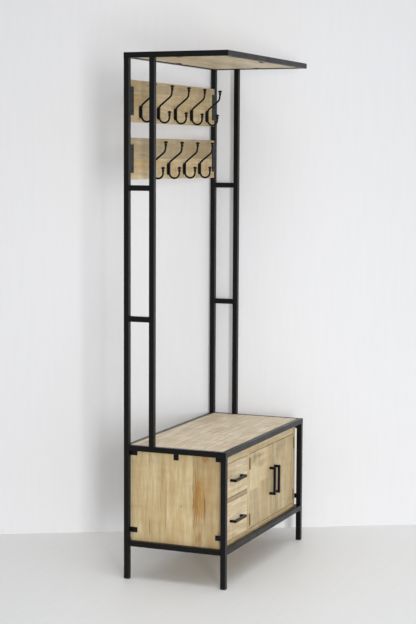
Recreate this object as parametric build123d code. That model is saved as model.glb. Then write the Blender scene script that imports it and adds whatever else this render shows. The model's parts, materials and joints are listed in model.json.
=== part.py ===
from build123d import *
import math
import os

# Hall tree with hooks: a welded square-tube frame that carries a wooden cabinet
# with two drawers and two doors, a bench top, two hook boards and a top shelf.
# Millimetres. The origin is on the floor at the middle of the footprint,
# +X to the right, +Y to the back, +Z up.

# --- Frame ---------------------------------------------------------------
WIDTH = 800.0            # over the tubes, left to right
DEPTH = 386.0            # over the tubes, front to back
HEIGHT = 1840.0          # floor to the top of the shelf
BENCH_H = 478.5          # floor to the seat
TUBE = 19.0              # outside of the square tube
TUBE_WALL = 1.2
TUBE_CORNER = 1.5        # outside corner radius of the tube
LOWER_RAIL_TOP = 137.7
POST_SETBACK = 115.0     # front face of an upper post, from the back of the frame
RUNG_COUNT = 2           # rungs between each upright and its post
FOOT_H = 4.0             # plastic glide under the end of a leg
FOOT_EASE = 1.2
PLUG_H = 14.0            # part of the glide inside the tube
PLUG_PLAY = 0.2

# --- Wood ----------------------------------------------------------------
BOARD_GAP = 0.5          # play between a wooden panel and the steel round it
EASE = 0.8               # rounding of the edges of visible wood
BENCH_T = 18.0
SHELF_T = 16.0
CAB_RECESS = 6.0         # cabinet front behind the back face of the front legs
CAB_BACK_RECESS = 0.5    # play behind the cabinet, in front of the uprights
CAB_SAG = 4.7            # cabinet bottom below the top of the lower rails
CAB_FLOOR_T = 16.0
CAB_SIDE_T = 18.0
CAB_BACK_T = 6.0
DIVIDER_T = 18.0
APRON_T = 18.0
APRON_H = 36.5
DRAWER_RAIL_H = 14.0
LOWER_OPENING_MORE = 14.0    # lower drawer opening taller than the upper one
DRAWER_RAIL_DEEP = 30.0

# --- Fronts --------------------------------------------------------------
FRONT_T = 18.0           # drawer fronts and doors
DRAWER_GAP = 1.5         # round a drawer front
DOOR_GAP = 2.0           # above and below a door
DOOR_MEETING_GAP = 2.6
HINGE_GAP = 2.4          # beside a door, where its hinge leaves are

# --- Drawer box and slides -----------------------------------------------
SLIDE_T = 12.5           # one slide, cabinet wall to drawer side
SLIDE_H = 35.0
SLIDE_STEP = 50.0        # slides come in lengths this far apart
SLIDE_SPARE = 10.0       # behind the longest slide that fits
SLIDE_SHEET = 1.2
SLIDE_PLAY = 0.6         # between the two channels of a slide
SLIDE_SET_BACK = 1.0     # slide behind the back of the drawer front
BOX_SIDE_T = 12.0
BOX_HEADROOM = 20.5      # box below the top edge of the drawer front
BOX_LIFT = 8.0           # box above the bottom edge of the drawer front
BOX_BOTTOM_T = 5.0
GROOVE_UP = 8.0          # groove above the bottom edge of the box side
GROOVE_DEEP = 6.0

# --- Hinges, catches and handles -----------------------------------------
LEAF_T = 0.9
KNUCKLE_R = 2.5
KNUCKLE_PROUD = 2.7      # hinge axis in front of the door face
PIN_R = 1.2
PIN_PLAY = 0.05
PIN_HEAD_R = 2.3
PIN_HEAD_H = 1.0
KNUCKLE_GAP = 0.3
HINGE_H = 40.0
HINGE_INSET = 34.0       # hinge centre from the end of the door
LEAF_DEEP = 15.0
CATCH_W = 40.0
CATCH_H = 28.0
CATCH_T = 12.0
CATCH_CORNER = 2.0
CATCH_DROP = 16.0        # part of the catch below the apron
CATCH_OFFSET = 60.0      # from the line where the doors meet
STRIKE_W = 24.0
STRIKE_H = 10.0
STRIKE_T = 1.0
CATCH_CLEAR = 0.4
HANDLE_CENTRES = 96.0
HANDLE_BAR = 9.0
HANDLE_OUT = 24.0
HANDLE_EASE = 1.2
DOOR_HANDLE_OFFSET = 23.0
HANDLE_SCREW_R = 2.0
HANDLE_SCREW_HEAD_R = 4.0
HANDLE_SCREW_HEAD_H = 2.4
HANDLE_SCREW_IN = 9.0

# --- Brackets, tabs and screws -------------------------------------------
PLATE_T = 3.0            # all welded brackets and tabs
BRACKET_W = 24.0
BRACKET_H = 98.0
BRACKET_SCREW_STEP = 33.3    # between the screws of a bracket
TAB_W = 25.0
TAB_H = 18.0
TAB_SCREW_OFFSET = 4.0   # screw nearer the free end of a corner tab
MID_TAB_W = 18.0
MID_TAB_H = 24.0
MID_TAB_SCREW_DROP = 16.8    # below the top of the middle tab
LOW_TAB_UP = 28.8        # low tabs above the lower rails
SHELF_TAB = 20.0
SHELF_TAB_SCREW_OFFSET = 2.0    # screw nearer the free edge of the tab
SCREW_R = 1.6
SCREW_LEN = 12.5         # under the head
SCREW_HEAD_R = 3.0
SCREW_HEAD_H = 1.8
SCREW_CROWN = 0.6        # rounding of a head, as a share of its height
SCREW_PLAY = 0.15        # radial, in wood and in steel

# --- Hook boards and hooks -----------------------------------------------
HOOK_BOARD_T = 16.0
HOOK_BOARD_H = 144.5
BOARD_BELOW_SHELF = 73.0
BOARD_SPACING = 54.0     # between the two boards
HOOK_DROP = 36.5         # centre of a hook's plate below the middle of the board
UPPER_HOOKS = (5, 81.5, 80.0)      # how many, then the first and last one's distance from the
LOWER_HOOKS = (4, 176.5, 151.5)    # left and right ends of the board
HOOK_PLATE_W = 24.0
HOOK_PLATE_H = 44.0
HOOK_ROD_R = 3.4
HOOK_RIB_OUT = 5.5       # middle of the rod in front of the board, on the plate
HOOK_TOP_OUT = 55.5      # middle of the upper prong's tip in front of the board
HOOK_TOP_UP = 99.5       # top of the upper cap above the plate's centre
HOOK_KNEE_OUT = 53.0
HOOK_KNEE_UP = 62.0
HOOK_SHOULDER_UP = 24.0
HOOK_CUP_DOWN = 33.5     # lowest middle of the rod below the plate's centre
HOOK_CUP_OUT = 45.0
HOOK_CUP_TIP_UP = 8.5
CAP_R = 8.0
LOW_CAP_R = 7.4
CAP_H = 7.5
COLLAR_R = 5.0
COLLAR_H = 8.0
NECK_H = 3.5
NECK_R = 3.9
HOOK_PLATE_EASE = 0.8
HOOK_TOP_BEND = 22.0     # bend under the upper prong
HOOK_SHOULDER_BEND = 14.0
HOOK_SCREW_X = 7.6
HOOK_SCREW_Z = 9.0

# --- Places worked out from the sizes ------------------------------------
X_OUT = WIDTH / 2
Y_OUT = DEPTH / 2
X_IN = X_OUT - TUBE
Y_IN = Y_OUT - TUBE
X_MID = X_OUT - TUBE / 2
Y_MID = Y_OUT - TUBE / 2
SHELF_RING_BOTTOM = HEIGHT - TUBE
BENCH_RING_BOTTOM = BENCH_H - TUBE
POST_Y = Y_OUT - POST_SETBACK + TUBE / 2
PANEL_X = X_IN - BOARD_GAP
PANEL_Y = Y_IN - BOARD_GAP
CAB_FRONT = -Y_IN + CAB_RECESS
CAB_BACK = Y_IN - CAB_BACK_RECESS
CAB_TOP = BENCH_H - BENCH_T
CAB_BOTTOM = LOWER_RAIL_TOP - CAB_SAG
CAB_FLOOR_TOP = CAB_BOTTOM + CAB_FLOOR_T
APRON_BOTTOM = CAB_TOP - APRON_H
OPENING = (APRON_BOTTOM - CAB_FLOOR_TOP - DRAWER_RAIL_H + LOWER_OPENING_MORE) / 2
DRAWER_RAIL_BOTTOM = CAB_FLOOR_TOP + OPENING
LOW_TAB_BOTTOM = LOWER_RAIL_TOP + LOW_TAB_UP
CAB_IN = PANEL_X - CAB_SIDE_T
BAY = (2 * CAB_IN - DIVIDER_T) / 3
DIVIDER_LEFT = -CAB_IN + BAY
DIVIDER_RIGHT = DIVIDER_LEFT + DIVIDER_T
MEETING_X = DIVIDER_RIGHT + BAY
DRAWER_X = -CAB_IN + BAY / 2
FRONT_BACK = CAB_FRONT + FRONT_T
SLIDE_ROOM = CAB_BACK - CAB_BACK_T - FRONT_BACK - SLIDE_SPARE
SLIDE_LEN = SLIDE_STEP * math.floor(SLIDE_ROOM / SLIDE_STEP)
HINGE_Y = CAB_FRONT - KNUCKLE_PROUD
UPPER_BOARD_BOTTOM = SHELF_RING_BOTTOM - BOARD_BELOW_SHELF - HOOK_BOARD_H
LOWER_BOARD_BOTTOM = UPPER_BOARD_BOTTOM - BOARD_SPACING - HOOK_BOARD_H
BOARD_FRONT = Y_OUT - HOOK_BOARD_T
PLATE_FRONT = BOARD_FRONT - PLATE_T
DOOR_BOTTOM = CAB_FLOOR_TOP + DOOR_GAP
DOOR_TOP = APRON_BOTTOM - DOOR_GAP
HINGE_ZS = (DOOR_BOTTOM + HINGE_INSET, DOOR_TOP - HINGE_INSET)


# --- Shapes --------------------------------------------------------------
def block(x0, x1, y0, y1, z0, z1):
    """A plain box between two corners."""
    return Pos((x0 + x1) / 2, (y0 + y1) / 2, (z0 + z1) / 2) * Box(x1 - x0, y1 - y0, z1 - z0)


def board(x0, x1, y0, y1, z0, z1):
    """A wooden board with its edges eased."""
    plain = block(x0, x1, y0, y1, z0, z1)
    return fillet(plain.edges(), EASE)


def rod(start, direction, radius, length):
    """A round bar from a point along a direction."""
    return extrude(Plane(origin=start, z_dir=direction) * Circle(radius), amount=length)


def tube(start, direction, length):
    """A length of hollow square tube along an axis, its middle line starting at a point."""
    bore = TUBE - 2 * TUBE_WALL
    section = RectangleRounded(TUBE, TUBE, TUBE_CORNER) - Rectangle(bore, bore)
    side = (0, 0, 1) if direction[2] == 0 else (1, 0, 0)
    return extrude(Plane(origin=start, x_dir=side, z_dir=direction) * section, amount=length)


def upright_tube(x, y, z0, z1):
    """A vertical tube."""
    return tube((x, y, z0), (0, 0, 1), z1 - z0)


def cross_tube(y, z, x0, x1):
    """A tube from left to right."""
    return tube((x0, y, z), (1, 0, 0), x1 - x0)


def deep_tube(x, z, y0, y1):
    """A tube from front to back."""
    return tube((x, y0, z), (0, 1, 0), y1 - y0)


def mitred(part, outline):
    """What is left of a level tube inside a flat outline, which cuts its ends at 45 degrees."""
    reach = extrude(Polygon(*outline, align=None), amount=HEIGHT + TUBE)
    return part & reach


def mirrored_x(part):
    """The same piece on the other side of the middle."""
    return mirror(part, about=Plane.YZ)


# --- Output --------------------------------------------------------------
os.makedirs("parts", exist_ok=True)


def save(name, *solids):
    """Write one node, whose solids stay separate."""
    single = []
    for item in solids:
        single.extend(item.solids())
    shape = single[0] if len(single) == 1 else Compound(children=single)
    shape.label = name
    export_step(shape, f"parts/{name}.step")


# --- Frame ---------------------------------------------------------------
def legs_and_posts():
    """The four legs, two of which run up to the shelf, and the two upper posts."""
    rear = upright_tube(-X_MID, Y_MID, FOOT_H, SHELF_RING_BOTTOM)
    front = upright_tube(-X_MID, -Y_MID, FOOT_H, BENCH_RING_BOTTOM)
    post = upright_tube(-X_MID, POST_Y, BENCH_H, SHELF_RING_BOTTOM)
    for name, part in (("rear_{}_upright", rear), ("front_{}_leg", front), ("{}_upper_post", post)):
        save(name.format("left"), part)
        save(name.format("right"), mirrored_x(part))


def bench_ring():
    """The rails round the bench: mitred at the front, butted to the uprights at the back."""
    z = BENCH_H - TUBE / 2
    front_outline = [(-X_OUT, -Y_OUT), (X_OUT, -Y_OUT), (X_IN, -Y_IN), (-X_IN, -Y_IN)]
    side_outline = [(-X_OUT, -Y_OUT), (-X_IN, -Y_IN), (-X_IN, Y_IN), (-X_OUT, Y_IN)]
    save("bench_front_rail", mitred(cross_tube(-Y_MID, z, -X_OUT, X_OUT), front_outline))
    side = mitred(deep_tube(-X_MID, z, -Y_OUT, Y_IN), side_outline)
    save("bench_left_rail", side)
    save("bench_right_rail", mirrored_x(side))
    save("bench_rear_rail", cross_tube(Y_MID, z, -X_IN, X_IN))


def lower_rails():
    """The rails under the cabinet, butted between the legs."""
    z = LOWER_RAIL_TOP - TUBE / 2
    save("lower_front_rail", cross_tube(-Y_MID, z, -X_IN, X_IN))
    save("lower_rear_rail", cross_tube(Y_MID, z, -X_IN, X_IN))
    side = deep_tube(-X_MID, z, -Y_IN, Y_IN)
    save("lower_left_rail", side)
    save("lower_right_rail", mirrored_x(side))


def shelf_ring():
    """The rails round the top shelf, mitred at all four corners."""
    z = HEIGHT - TUBE / 2
    front_outline = [(-X_OUT, -Y_OUT), (X_OUT, -Y_OUT), (X_IN, -Y_IN), (-X_IN, -Y_IN)]
    side_outline = [(-X_OUT, -Y_OUT), (-X_IN, -Y_IN), (-X_IN, Y_IN), (-X_OUT, Y_OUT)]
    front = mitred(cross_tube(-Y_MID, z, -X_OUT, X_OUT), front_outline)
    side = mitred(deep_tube(-X_MID, z, -Y_OUT, Y_OUT), side_outline)
    save("shelf_front_rail", front)
    save("shelf_rear_rail", mirror(front, about=Plane.XZ))
    save("shelf_left_rail", side)
    save("shelf_right_rail", mirrored_x(side))


def side_rungs():
    """Short rungs that share the height above the bench evenly."""
    clear = (SHELF_RING_BOTTOM - BENCH_H - RUNG_COUNT * TUBE) / (RUNG_COUNT + 1)
    rungs = []
    for number in range(RUNG_COUNT):
        z = BENCH_H + (number + 1) * clear + number * TUBE + TUBE / 2
        rung = deep_tube(-X_MID, z, POST_Y + TUBE / 2, Y_IN)
        rungs += [rung, mirrored_x(rung)]
    save("side_rungs", *rungs)


def foot_glides():
    """A plastic glide pressed into the open end of each leg."""
    plug = TUBE - 2 * TUBE_WALL - 2 * PLUG_PLAY
    base = extrude(RectangleRounded(TUBE, TUBE, TUBE_CORNER), amount=FOOT_H)
    base = chamfer(base.edges().group_by(Axis.Z)[0], FOOT_EASE)
    glide = base + block(-plug / 2, plug / 2, -plug / 2, plug / 2, FOOT_H, FOOT_H + PLUG_H)
    save("foot_glides", *[Pos(x, y, 0) * glide for x in (-X_MID, X_MID) for y in (-Y_MID, Y_MID)])


# --- Screws, tabs and brackets -------------------------------------------
def screw(place, into, length=SCREW_LEN, radius=SCREW_R, head_r=SCREW_HEAD_R, head_h=SCREW_HEAD_H):
    """A screw whose head sits on a face at a place and whose shank runs into it."""
    out = tuple(-v for v in into)
    head = rod(place, out, head_r, head_h)
    head = fillet(head.edges().sort_by(Axis((0, 0, 0), out))[-1], head_h * SCREW_CROWN)
    return head + rod(place, into, radius, length)


def clearance(place, into, length=SCREW_LEN, radius=SCREW_R):
    """The hole that a screw runs in, from just outside the face it sits on."""
    start = tuple(p - v for p, v in zip(place, into))
    return rod(start, into, radius + SCREW_PLAY, length + 2)


def side_tab_places():
    """Each tab beside the cabinet: its Y span, its Z span and its screw."""
    inner = Y_IN - TAB_W
    low = LOW_TAB_BOTTOM
    top = BENCH_RING_BOTTOM
    middle = MID_TAB_W / 2
    screw_y = (inner + Y_IN) / 2 - TAB_SCREW_OFFSET
    corners = [(-Y_IN, -inner, -screw_y), (inner, Y_IN, screw_y)]
    spans = [(y0, y1, top - TAB_H, top, y) for y0, y1, y in corners]
    spans.append((-middle, middle, top - MID_TAB_H, top, 0.0))
    spans += [(y0, y1, low, low + TAB_H, y) for y0, y1, y in corners]
    return spans


def cabinet_tab_screws():
    """Where the screws of the left side's tabs go in."""
    outer = -PANEL_X - PLATE_T
    places = []
    for y0, y1, z0, z1, y in side_tab_places():
        drop = MID_TAB_SCREW_DROP if y == 0 else (z1 - z0) / 2
        places.append((outer, y, z1 - drop))
    return places


def shelf_tab_spans():
    """The tab in the middle of each shelf rail: its X span, its Y span and its screw."""
    half = SHELF_TAB / 2
    near_x = X_IN - SHELF_TAB
    near_y = Y_IN - SHELF_TAB
    screw_in = SHELF_TAB / 2 + SHELF_TAB_SCREW_OFFSET
    return [(-half, half, near_y, Y_IN, (0.0, Y_IN - screw_in)),
            (-half, half, -Y_IN, -near_y, (0.0, -Y_IN + screw_in)),
            (near_x, X_IN, -half, half, (X_IN - screw_in, 0.0)),
            (-X_IN, -near_x, -half, half, (-X_IN + screw_in, 0.0))]


def panel_tabs():
    """Steel tabs welded to the frame: five on each side of the cabinet, four under the shelf."""
    tabs = []
    places = cabinet_tab_screws()
    for (y0, y1, z0, z1, y), place in zip(side_tab_places(), places):
        tab = block(-PANEL_X - PLATE_T, -PANEL_X, y0, y1, z0, z1) - clearance(place, (1, 0, 0))
        tabs += [tab, mirrored_x(tab)]
    bottom = HEIGHT - SHELF_T - PLATE_T
    for x0, x1, y0, y1, (x, y) in shelf_tab_spans():
        tab = block(x0, x1, y0, y1, bottom, bottom + PLATE_T)
        tabs.append(tab - clearance((x, y, bottom), (0, 0, 1)))
    save("panel_tabs", *tabs)


def board_middles():
    """Heights of the middles of the two hook boards."""
    return (UPPER_BOARD_BOTTOM + HOOK_BOARD_H / 2, LOWER_BOARD_BOTTOM + HOOK_BOARD_H / 2)


def bracket_screws(middle):
    """Where the three screws of the left bracket of one board go in."""
    x = -X_IN + BRACKET_W / 2
    return [(x, PLATE_FRONT, middle + BRACKET_SCREW_STEP * number) for number in (-1, 0, 1)]


def hook_board_brackets():
    """A vertical steel plate in front of each end of each hook board."""
    plates = []
    for middle in board_middles():
        plate = block(-X_IN, -X_IN + BRACKET_W, PLATE_FRONT, BOARD_FRONT,
                      middle - BRACKET_H / 2, middle + BRACKET_H / 2)
        for place in bracket_screws(middle):
            plate -= clearance(place, (0, 1, 0))
        plates += [plate, mirrored_x(plate)]
    save("hook_board_brackets", *plates)


def hook_row(count, left, right):
    """The X places of a row of hooks, evenly spaced between the distances from the board's ends."""
    first = -PANEL_X + left
    pitch = (2 * PANEL_X - left - right) / (count - 1)
    return [first + pitch * number for number in range(count)]


def hook_screws(x, middle):
    """Where the two screws of one hook go in."""
    z = middle - HOOK_DROP
    return [(x - HOOK_SCREW_X, PLATE_FRONT, z + HOOK_SCREW_Z),
            (x + HOOK_SCREW_X, PLATE_FRONT, z - HOOK_SCREW_Z)]


def board_screws(middle, hooks_x):
    """Every screw of one hook board."""
    places = bracket_screws(middle)
    places += [(-x, y, z) for x, y, z in bracket_screws(middle)]
    for x in hooks_x:
        places += hook_screws(x, middle)
    return places


def wood_screws():
    """Every screw that goes into wood, all of one size."""
    screws = []
    for middle, row in zip(board_middles(), (UPPER_HOOKS, LOWER_HOOKS)):
        screws += [screw(place, (0, 1, 0)) for place in board_screws(middle, hook_row(*row))]
    for place in cabinet_tab_screws():
        one = screw(place, (1, 0, 0))
        screws += [one, mirrored_x(one)]
    bottom = HEIGHT - SHELF_T - PLATE_T
    for *_, (x, y) in shelf_tab_spans():
        screws.append(screw((x, y, bottom), (0, 0, 1)))
    save("wood_screws", *screws)


# --- Wood ----------------------------------------------------------------
def flat_boards():
    """The seat, the top shelf and the two hook boards."""
    save("bench_top", board(-PANEL_X, PANEL_X, -PANEL_Y, PANEL_Y, CAB_TOP, BENCH_H))
    shelf = board(-PANEL_X, PANEL_X, -PANEL_Y, PANEL_Y, HEIGHT - SHELF_T, HEIGHT)
    for *_, (x, y) in shelf_tab_spans():
        shelf -= clearance((x, y, HEIGHT - SHELF_T - PLATE_T), (0, 0, 1))
    save("shelf_board", shelf)
    boards = (("upper_hook_board", UPPER_HOOKS), ("lower_hook_board", LOWER_HOOKS))
    for (name, row), middle in zip(boards, board_middles()):
        half = HOOK_BOARD_H / 2
        plank = board(-PANEL_X, PANEL_X, BOARD_FRONT, Y_OUT, middle - half, middle + half)
        for place in board_screws(middle, hook_row(*row)):
            plank -= clearance(place, (0, 1, 0))
        save(name, plank)


def cabinet_carcass():
    """The fixed wooden box: two sides, floor, divider, back, apron and drawer rail."""
    side = board(-PANEL_X, -CAB_IN, CAB_FRONT, CAB_BACK, CAB_BOTTOM, CAB_TOP)
    for place in cabinet_tab_screws():
        side -= clearance(place, (1, 0, 0))
    save("cabinet_left_side", side)
    save("cabinet_right_side", mirrored_x(side))
    back_front = CAB_BACK - CAB_BACK_T
    save("cabinet_bottom", board(-CAB_IN, CAB_IN, CAB_FRONT, CAB_BACK, CAB_BOTTOM, CAB_FLOOR_TOP))
    save("cabinet_back", block(-CAB_IN, CAB_IN, back_front, CAB_BACK, CAB_FLOOR_TOP, CAB_TOP))
    apron_back = CAB_FRONT + APRON_T
    save("cabinet_apron", board(-CAB_IN, CAB_IN, CAB_FRONT, apron_back, APRON_BOTTOM, CAB_TOP))
    divider = block(DIVIDER_LEFT, DIVIDER_RIGHT, CAB_FRONT, back_front, CAB_FLOOR_TOP, CAB_TOP)
    divider -= block(DIVIDER_LEFT, DIVIDER_RIGHT, CAB_FRONT, apron_back, APRON_BOTTOM, CAB_TOP)
    save("cabinet_divider", divider)
    rail_top = DRAWER_RAIL_BOTTOM + DRAWER_RAIL_H
    save("drawer_rail", board(-CAB_IN, DIVIDER_LEFT, CAB_FRONT, CAB_FRONT + DRAWER_RAIL_DEEP,
                              DRAWER_RAIL_BOTTOM, rail_top))


# --- Hooks ---------------------------------------------------------------
def cap_and_collar(out, top, cap_r):
    """The button on the tip of a prong and the collar under it, turned in one piece."""
    flat = top - CAP_H
    collar_top = flat - NECK_H
    collar_low = collar_top - COLLAR_H
    edge = flat + CAP_H * 0.4
    crown_h = top - edge
    ball = (cap_r ** 2 + crown_h ** 2) / (2 * crown_h)
    half_turn = math.asin(cap_r / ball) / 2
    on_crown = (ball * math.sin(half_turn), top - ball * (1 - math.cos(half_turn)))
    outline = Polyline((0, top), (0, collar_low), (NECK_R, collar_low),
                       (COLLAR_R, collar_low + COLLAR_H * 0.6), (COLLAR_R * 0.92, collar_top),
                       (NECK_R, collar_top + NECK_H * 0.4), (NECK_R, flat), (cap_r * 0.85, flat),
                       (cap_r, flat + CAP_H * 0.2), (cap_r, edge))
    crown = ThreePointArc((cap_r, edge), on_crown, (0, top))
    tip = revolve(Plane.XZ * make_face(outline + crown), Axis.Z)
    return Pos(0, -out, 0) * tip


def hook():
    """One double-prong coat hook: Y runs out from the board, Z is up from the plate's centre."""
    cup_r = (HOOK_CUP_OUT - HOOK_RIB_OUT) / 2 - 0.1
    into_collar = CAP_H + NECK_H + COLLAR_H * 0.4
    top_end = HOOK_TOP_UP - into_collar
    low_end = HOOK_CUP_TIP_UP - into_collar
    path = FilletPolyline((0, -HOOK_TOP_OUT, top_end), (0, -HOOK_KNEE_OUT, HOOK_KNEE_UP),
                          (0, -HOOK_RIB_OUT, HOOK_SHOULDER_UP), (0, -HOOK_RIB_OUT, -HOOK_CUP_DOWN),
                          (0, -HOOK_CUP_OUT, -HOOK_CUP_DOWN), (0, -HOOK_CUP_OUT, low_end),
                          radius=[HOOK_TOP_BEND, HOOK_SHOULDER_BEND, cup_r, cup_r])
    section = Plane(origin=path @ 0, z_dir=path % 0) * Circle(HOOK_ROD_R)
    prongs = sweep(section, path=path)
    outline = SlotOverall(HOOK_PLATE_H, HOOK_PLATE_W, rotation=90)
    plate = extrude(Plane.XZ * outline, amount=PLATE_T)
    plate = chamfer(plate.edges().group_by(Axis.Y)[0], HOOK_PLATE_EASE)
    body = prongs + plate
    body += cap_and_collar(HOOK_TOP_OUT, HOOK_TOP_UP, CAP_R)
    body += cap_and_collar(HOOK_CUP_OUT, HOOK_CUP_TIP_UP, LOW_CAP_R)
    for x, z in ((-HOOK_SCREW_X, HOOK_SCREW_Z), (HOOK_SCREW_X, -HOOK_SCREW_Z)):
        body -= clearance((x, -PLATE_T, z), (0, 1, 0))
    return body


def hooks():
    """Five hooks on the upper board and four on the lower one."""
    one = hook()
    rows = (("upper_hooks", UPPER_HOOKS), ("lower_hooks", LOWER_HOOKS))
    for (name, row), middle in zip(rows, board_middles()):
        save(name, *[Pos(x, BOARD_FRONT, middle - HOOK_DROP) * one for x in hook_row(*row)])


# --- Handles -------------------------------------------------------------
def handle():
    """A square-bar pull, level along X, its feet on the plane Y = 0, with its two screws."""
    half = HANDLE_CENTRES / 2
    bar = HANDLE_BAR / 2
    pull = block(-half - bar, half + bar, -HANDLE_OUT, 0, -bar, bar)
    pull -= block(-half + bar, half - bar, -HANDLE_OUT + HANDLE_BAR, 0, -bar, bar)
    outer = [edge for edge in pull.edges() if edge.center().Y < -HANDLE_BAR * 0.3]
    pull = fillet(outer, HANDLE_EASE)
    screws = []
    for x in (-half, half):
        place = (x, FRONT_T, 0)
        length = FRONT_T + HANDLE_SCREW_IN
        pull -= clearance(place, (0, -1, 0), length, HANDLE_SCREW_R)
        screws.append(screw(place, (0, -1, 0), length, HANDLE_SCREW_R,
                             HANDLE_SCREW_HEAD_R, HANDLE_SCREW_HEAD_H))
    return [pull] + screws


def handle_holes(front, turn):
    """A front with the two holes of its handle drilled through."""
    for x in (-HANDLE_CENTRES / 2, HANDLE_CENTRES / 2):
        hole = clearance((x, FRONT_T, 0), (0, -1, 0), FRONT_T + 2, HANDLE_SCREW_R)
        front -= turn * hole
    return front


# --- Drawers -------------------------------------------------------------
def drawer(name, low, high):
    """One drawer between two heights: front, box, runners and handle."""
    x0, x1 = -CAB_IN + DRAWER_GAP, DIVIDER_LEFT - DRAWER_GAP
    z0, z1 = low + DRAWER_GAP, high - DRAWER_GAP
    box_x = BAY / 2 - SLIDE_T
    box_low = z0 + BOX_LIFT
    box_high = z1 - BOX_HEADROOM
    y0, y1 = FRONT_BACK, FRONT_BACK + SLIDE_LEN
    groove_low = box_low + GROOVE_UP
    groove_high = groove_low + BOX_BOTTOM_T
    inner = box_x - BOX_SIDE_T
    bottom = block(DRAWER_X - inner - GROOVE_DEEP, DRAWER_X + inner + GROOVE_DEEP,
                   y0 - GROOVE_DEEP, y1, groove_low, groove_high)
    place = Pos(DRAWER_X, CAB_FRONT, (z0 + z1) / 2)
    front = handle_holes(board(x0, x1, CAB_FRONT, FRONT_BACK, z0, z1), place)
    save(f"{name}_drawer_front", front - bottom)
    sides = []
    for side in (-1, 1):
        outer, inside = sorted((DRAWER_X + side * box_x, DRAWER_X + side * inner))
        sides.append(block(outer, inside, y0, y1, box_low, box_high) - bottom)
    save(f"{name}_drawer_sides", *sides)
    save(f"{name}_drawer_back", block(DRAWER_X - inner, DRAWER_X + inner, y1 - BOX_SIDE_T, y1,
                                      groove_high, box_high))
    save(f"{name}_drawer_bottom", bottom)
    save(f"{name}_drawer_handle", *[place * item for item in handle()])
    middle = slide_middle(low, high)
    runner = slide_channel(-CAB_IN + SLIDE_T, -1, SLIDE_H / 2 - SLIDE_SHEET - SLIDE_PLAY,
                           SLIDE_T - 2 * SLIDE_SHEET, middle)
    save(f"{name}_drawer_runners", runner, across_bay(runner))


def slide_middle(low, high):
    """Height of the middle of the slides of the drawer between two heights."""
    return (low + BOX_LIFT + high - BOX_HEADROOM) / 2


def slide_channel(x, way, half, deep, middle):
    """A steel channel along the drawer: its web at x, its flanges reaching one way."""
    y0, y1 = FRONT_BACK + SLIDE_SET_BACK, FRONT_BACK + SLIDE_LEN
    a, b = sorted((x, x + way * deep))
    web_a, web_b = sorted((x + way * SLIDE_SHEET, x + way * deep))
    whole = block(a, b, y0, y1, middle - half, middle + half)
    hollow = block(web_a, web_b, y0, y1, middle - half + SLIDE_SHEET, middle + half - SLIDE_SHEET)
    return whole - hollow


def across_bay(part):
    """The same piece on the other side of the drawer bay."""
    return mirror(part, about=Plane.YZ.offset(DRAWER_X))


def drawers():
    """Both drawers and the channels fixed in the cabinet for them."""
    spans = (("lower", CAB_FLOOR_TOP, DRAWER_RAIL_BOTTOM),
             ("upper", DRAWER_RAIL_BOTTOM + DRAWER_RAIL_H, APRON_BOTTOM))
    channels = []
    for name, low, high in spans:
        drawer(name, low, high)
        channel = slide_channel(-CAB_IN, 1, SLIDE_H / 2, SLIDE_T - 2 * SLIDE_SHEET,
                                slide_middle(low, high))
        channels += [channel, across_bay(channel)]
    save("slide_channels", *channels)


# --- Doors ---------------------------------------------------------------
def knuckle_spans(middle):
    """The three knuckles of one hinge, lowest first, as height spans."""
    each = (HINGE_H - 2 * KNUCKLE_GAP) / 3
    low = middle - HINGE_H / 2
    return [(low + n * (each + KNUCKLE_GAP), low + n * (each + KNUCKLE_GAP) + each) for n in range(3)]


def hinge_leaf(x_axis, side, middle, numbers):
    """One leaf of a butt hinge: a plate beside the gap, joined to its knuckles."""
    face = x_axis + side * HINGE_GAP / 2
    a, b = sorted((face, face - side * LEAF_T))
    spans = [knuckle_spans(middle)[n] for n in numbers]
    leaf = block(a, b, CAB_FRONT, CAB_FRONT + LEAF_DEEP, middle - HINGE_H / 2, middle + HINGE_H / 2)
    for z0, z1 in spans:
        leaf += block(a, b, HINGE_Y, CAB_FRONT, z0, z1)
        leaf += rod((x_axis, HINGE_Y, z0), (0, 0, 1), KNUCKLE_R, z1 - z0)
    return leaf - rod((x_axis, HINGE_Y, middle - HINGE_H), (0, 0, 1), PIN_R + PIN_PLAY, 2 * HINGE_H)


def hinge_pin(x_axis, middle):
    """A pin through the knuckles, with a low head at each end."""
    half = HINGE_H / 2
    pin = rod((x_axis, HINGE_Y, middle - half), (0, 0, 1), PIN_R, HINGE_H)
    pin += rod((x_axis, HINGE_Y, middle + half), (0, 0, 1), PIN_HEAD_R, PIN_HEAD_H)
    return pin + rod((x_axis, HINGE_Y, middle - half - PIN_HEAD_H), (0, 0, 1), PIN_HEAD_R, PIN_HEAD_H)


def door(name, x_hinge, side):
    """One door: side is +1 when the door lies to the right of its hinge."""
    hinge_edge = x_hinge + side * HINGE_GAP / 2
    free_edge = MEETING_X - side * DOOR_MEETING_GAP / 2
    x0, x1 = sorted((hinge_edge, free_edge))
    middle = (DOOR_BOTTOM + DOOR_TOP) / 2
    place = Pos(MEETING_X - side * DOOR_HANDLE_OFFSET, CAB_FRONT, middle) * Rot(0, 90, 0)
    panel = board(x0, x1, CAB_FRONT, FRONT_BACK, DOOR_BOTTOM, DOOR_TOP)
    save(f"{name}_door_panel", handle_holes(panel, place))
    save(f"{name}_door_handle", *[place * item for item in handle()])
    save(f"{name}_door_hinge_leaves", *[hinge_leaf(x_hinge, side, z, [1]) for z in HINGE_ZS])
    strike_x = MEETING_X - side * CATCH_OFFSET
    strike_z = APRON_BOTTOM - CATCH_DROP
    save(f"{name}_door_strike", block(strike_x - STRIKE_W / 2, strike_x + STRIKE_W / 2, FRONT_BACK,
                                      FRONT_BACK + STRIKE_T, strike_z, strike_z + STRIKE_H))


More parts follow.
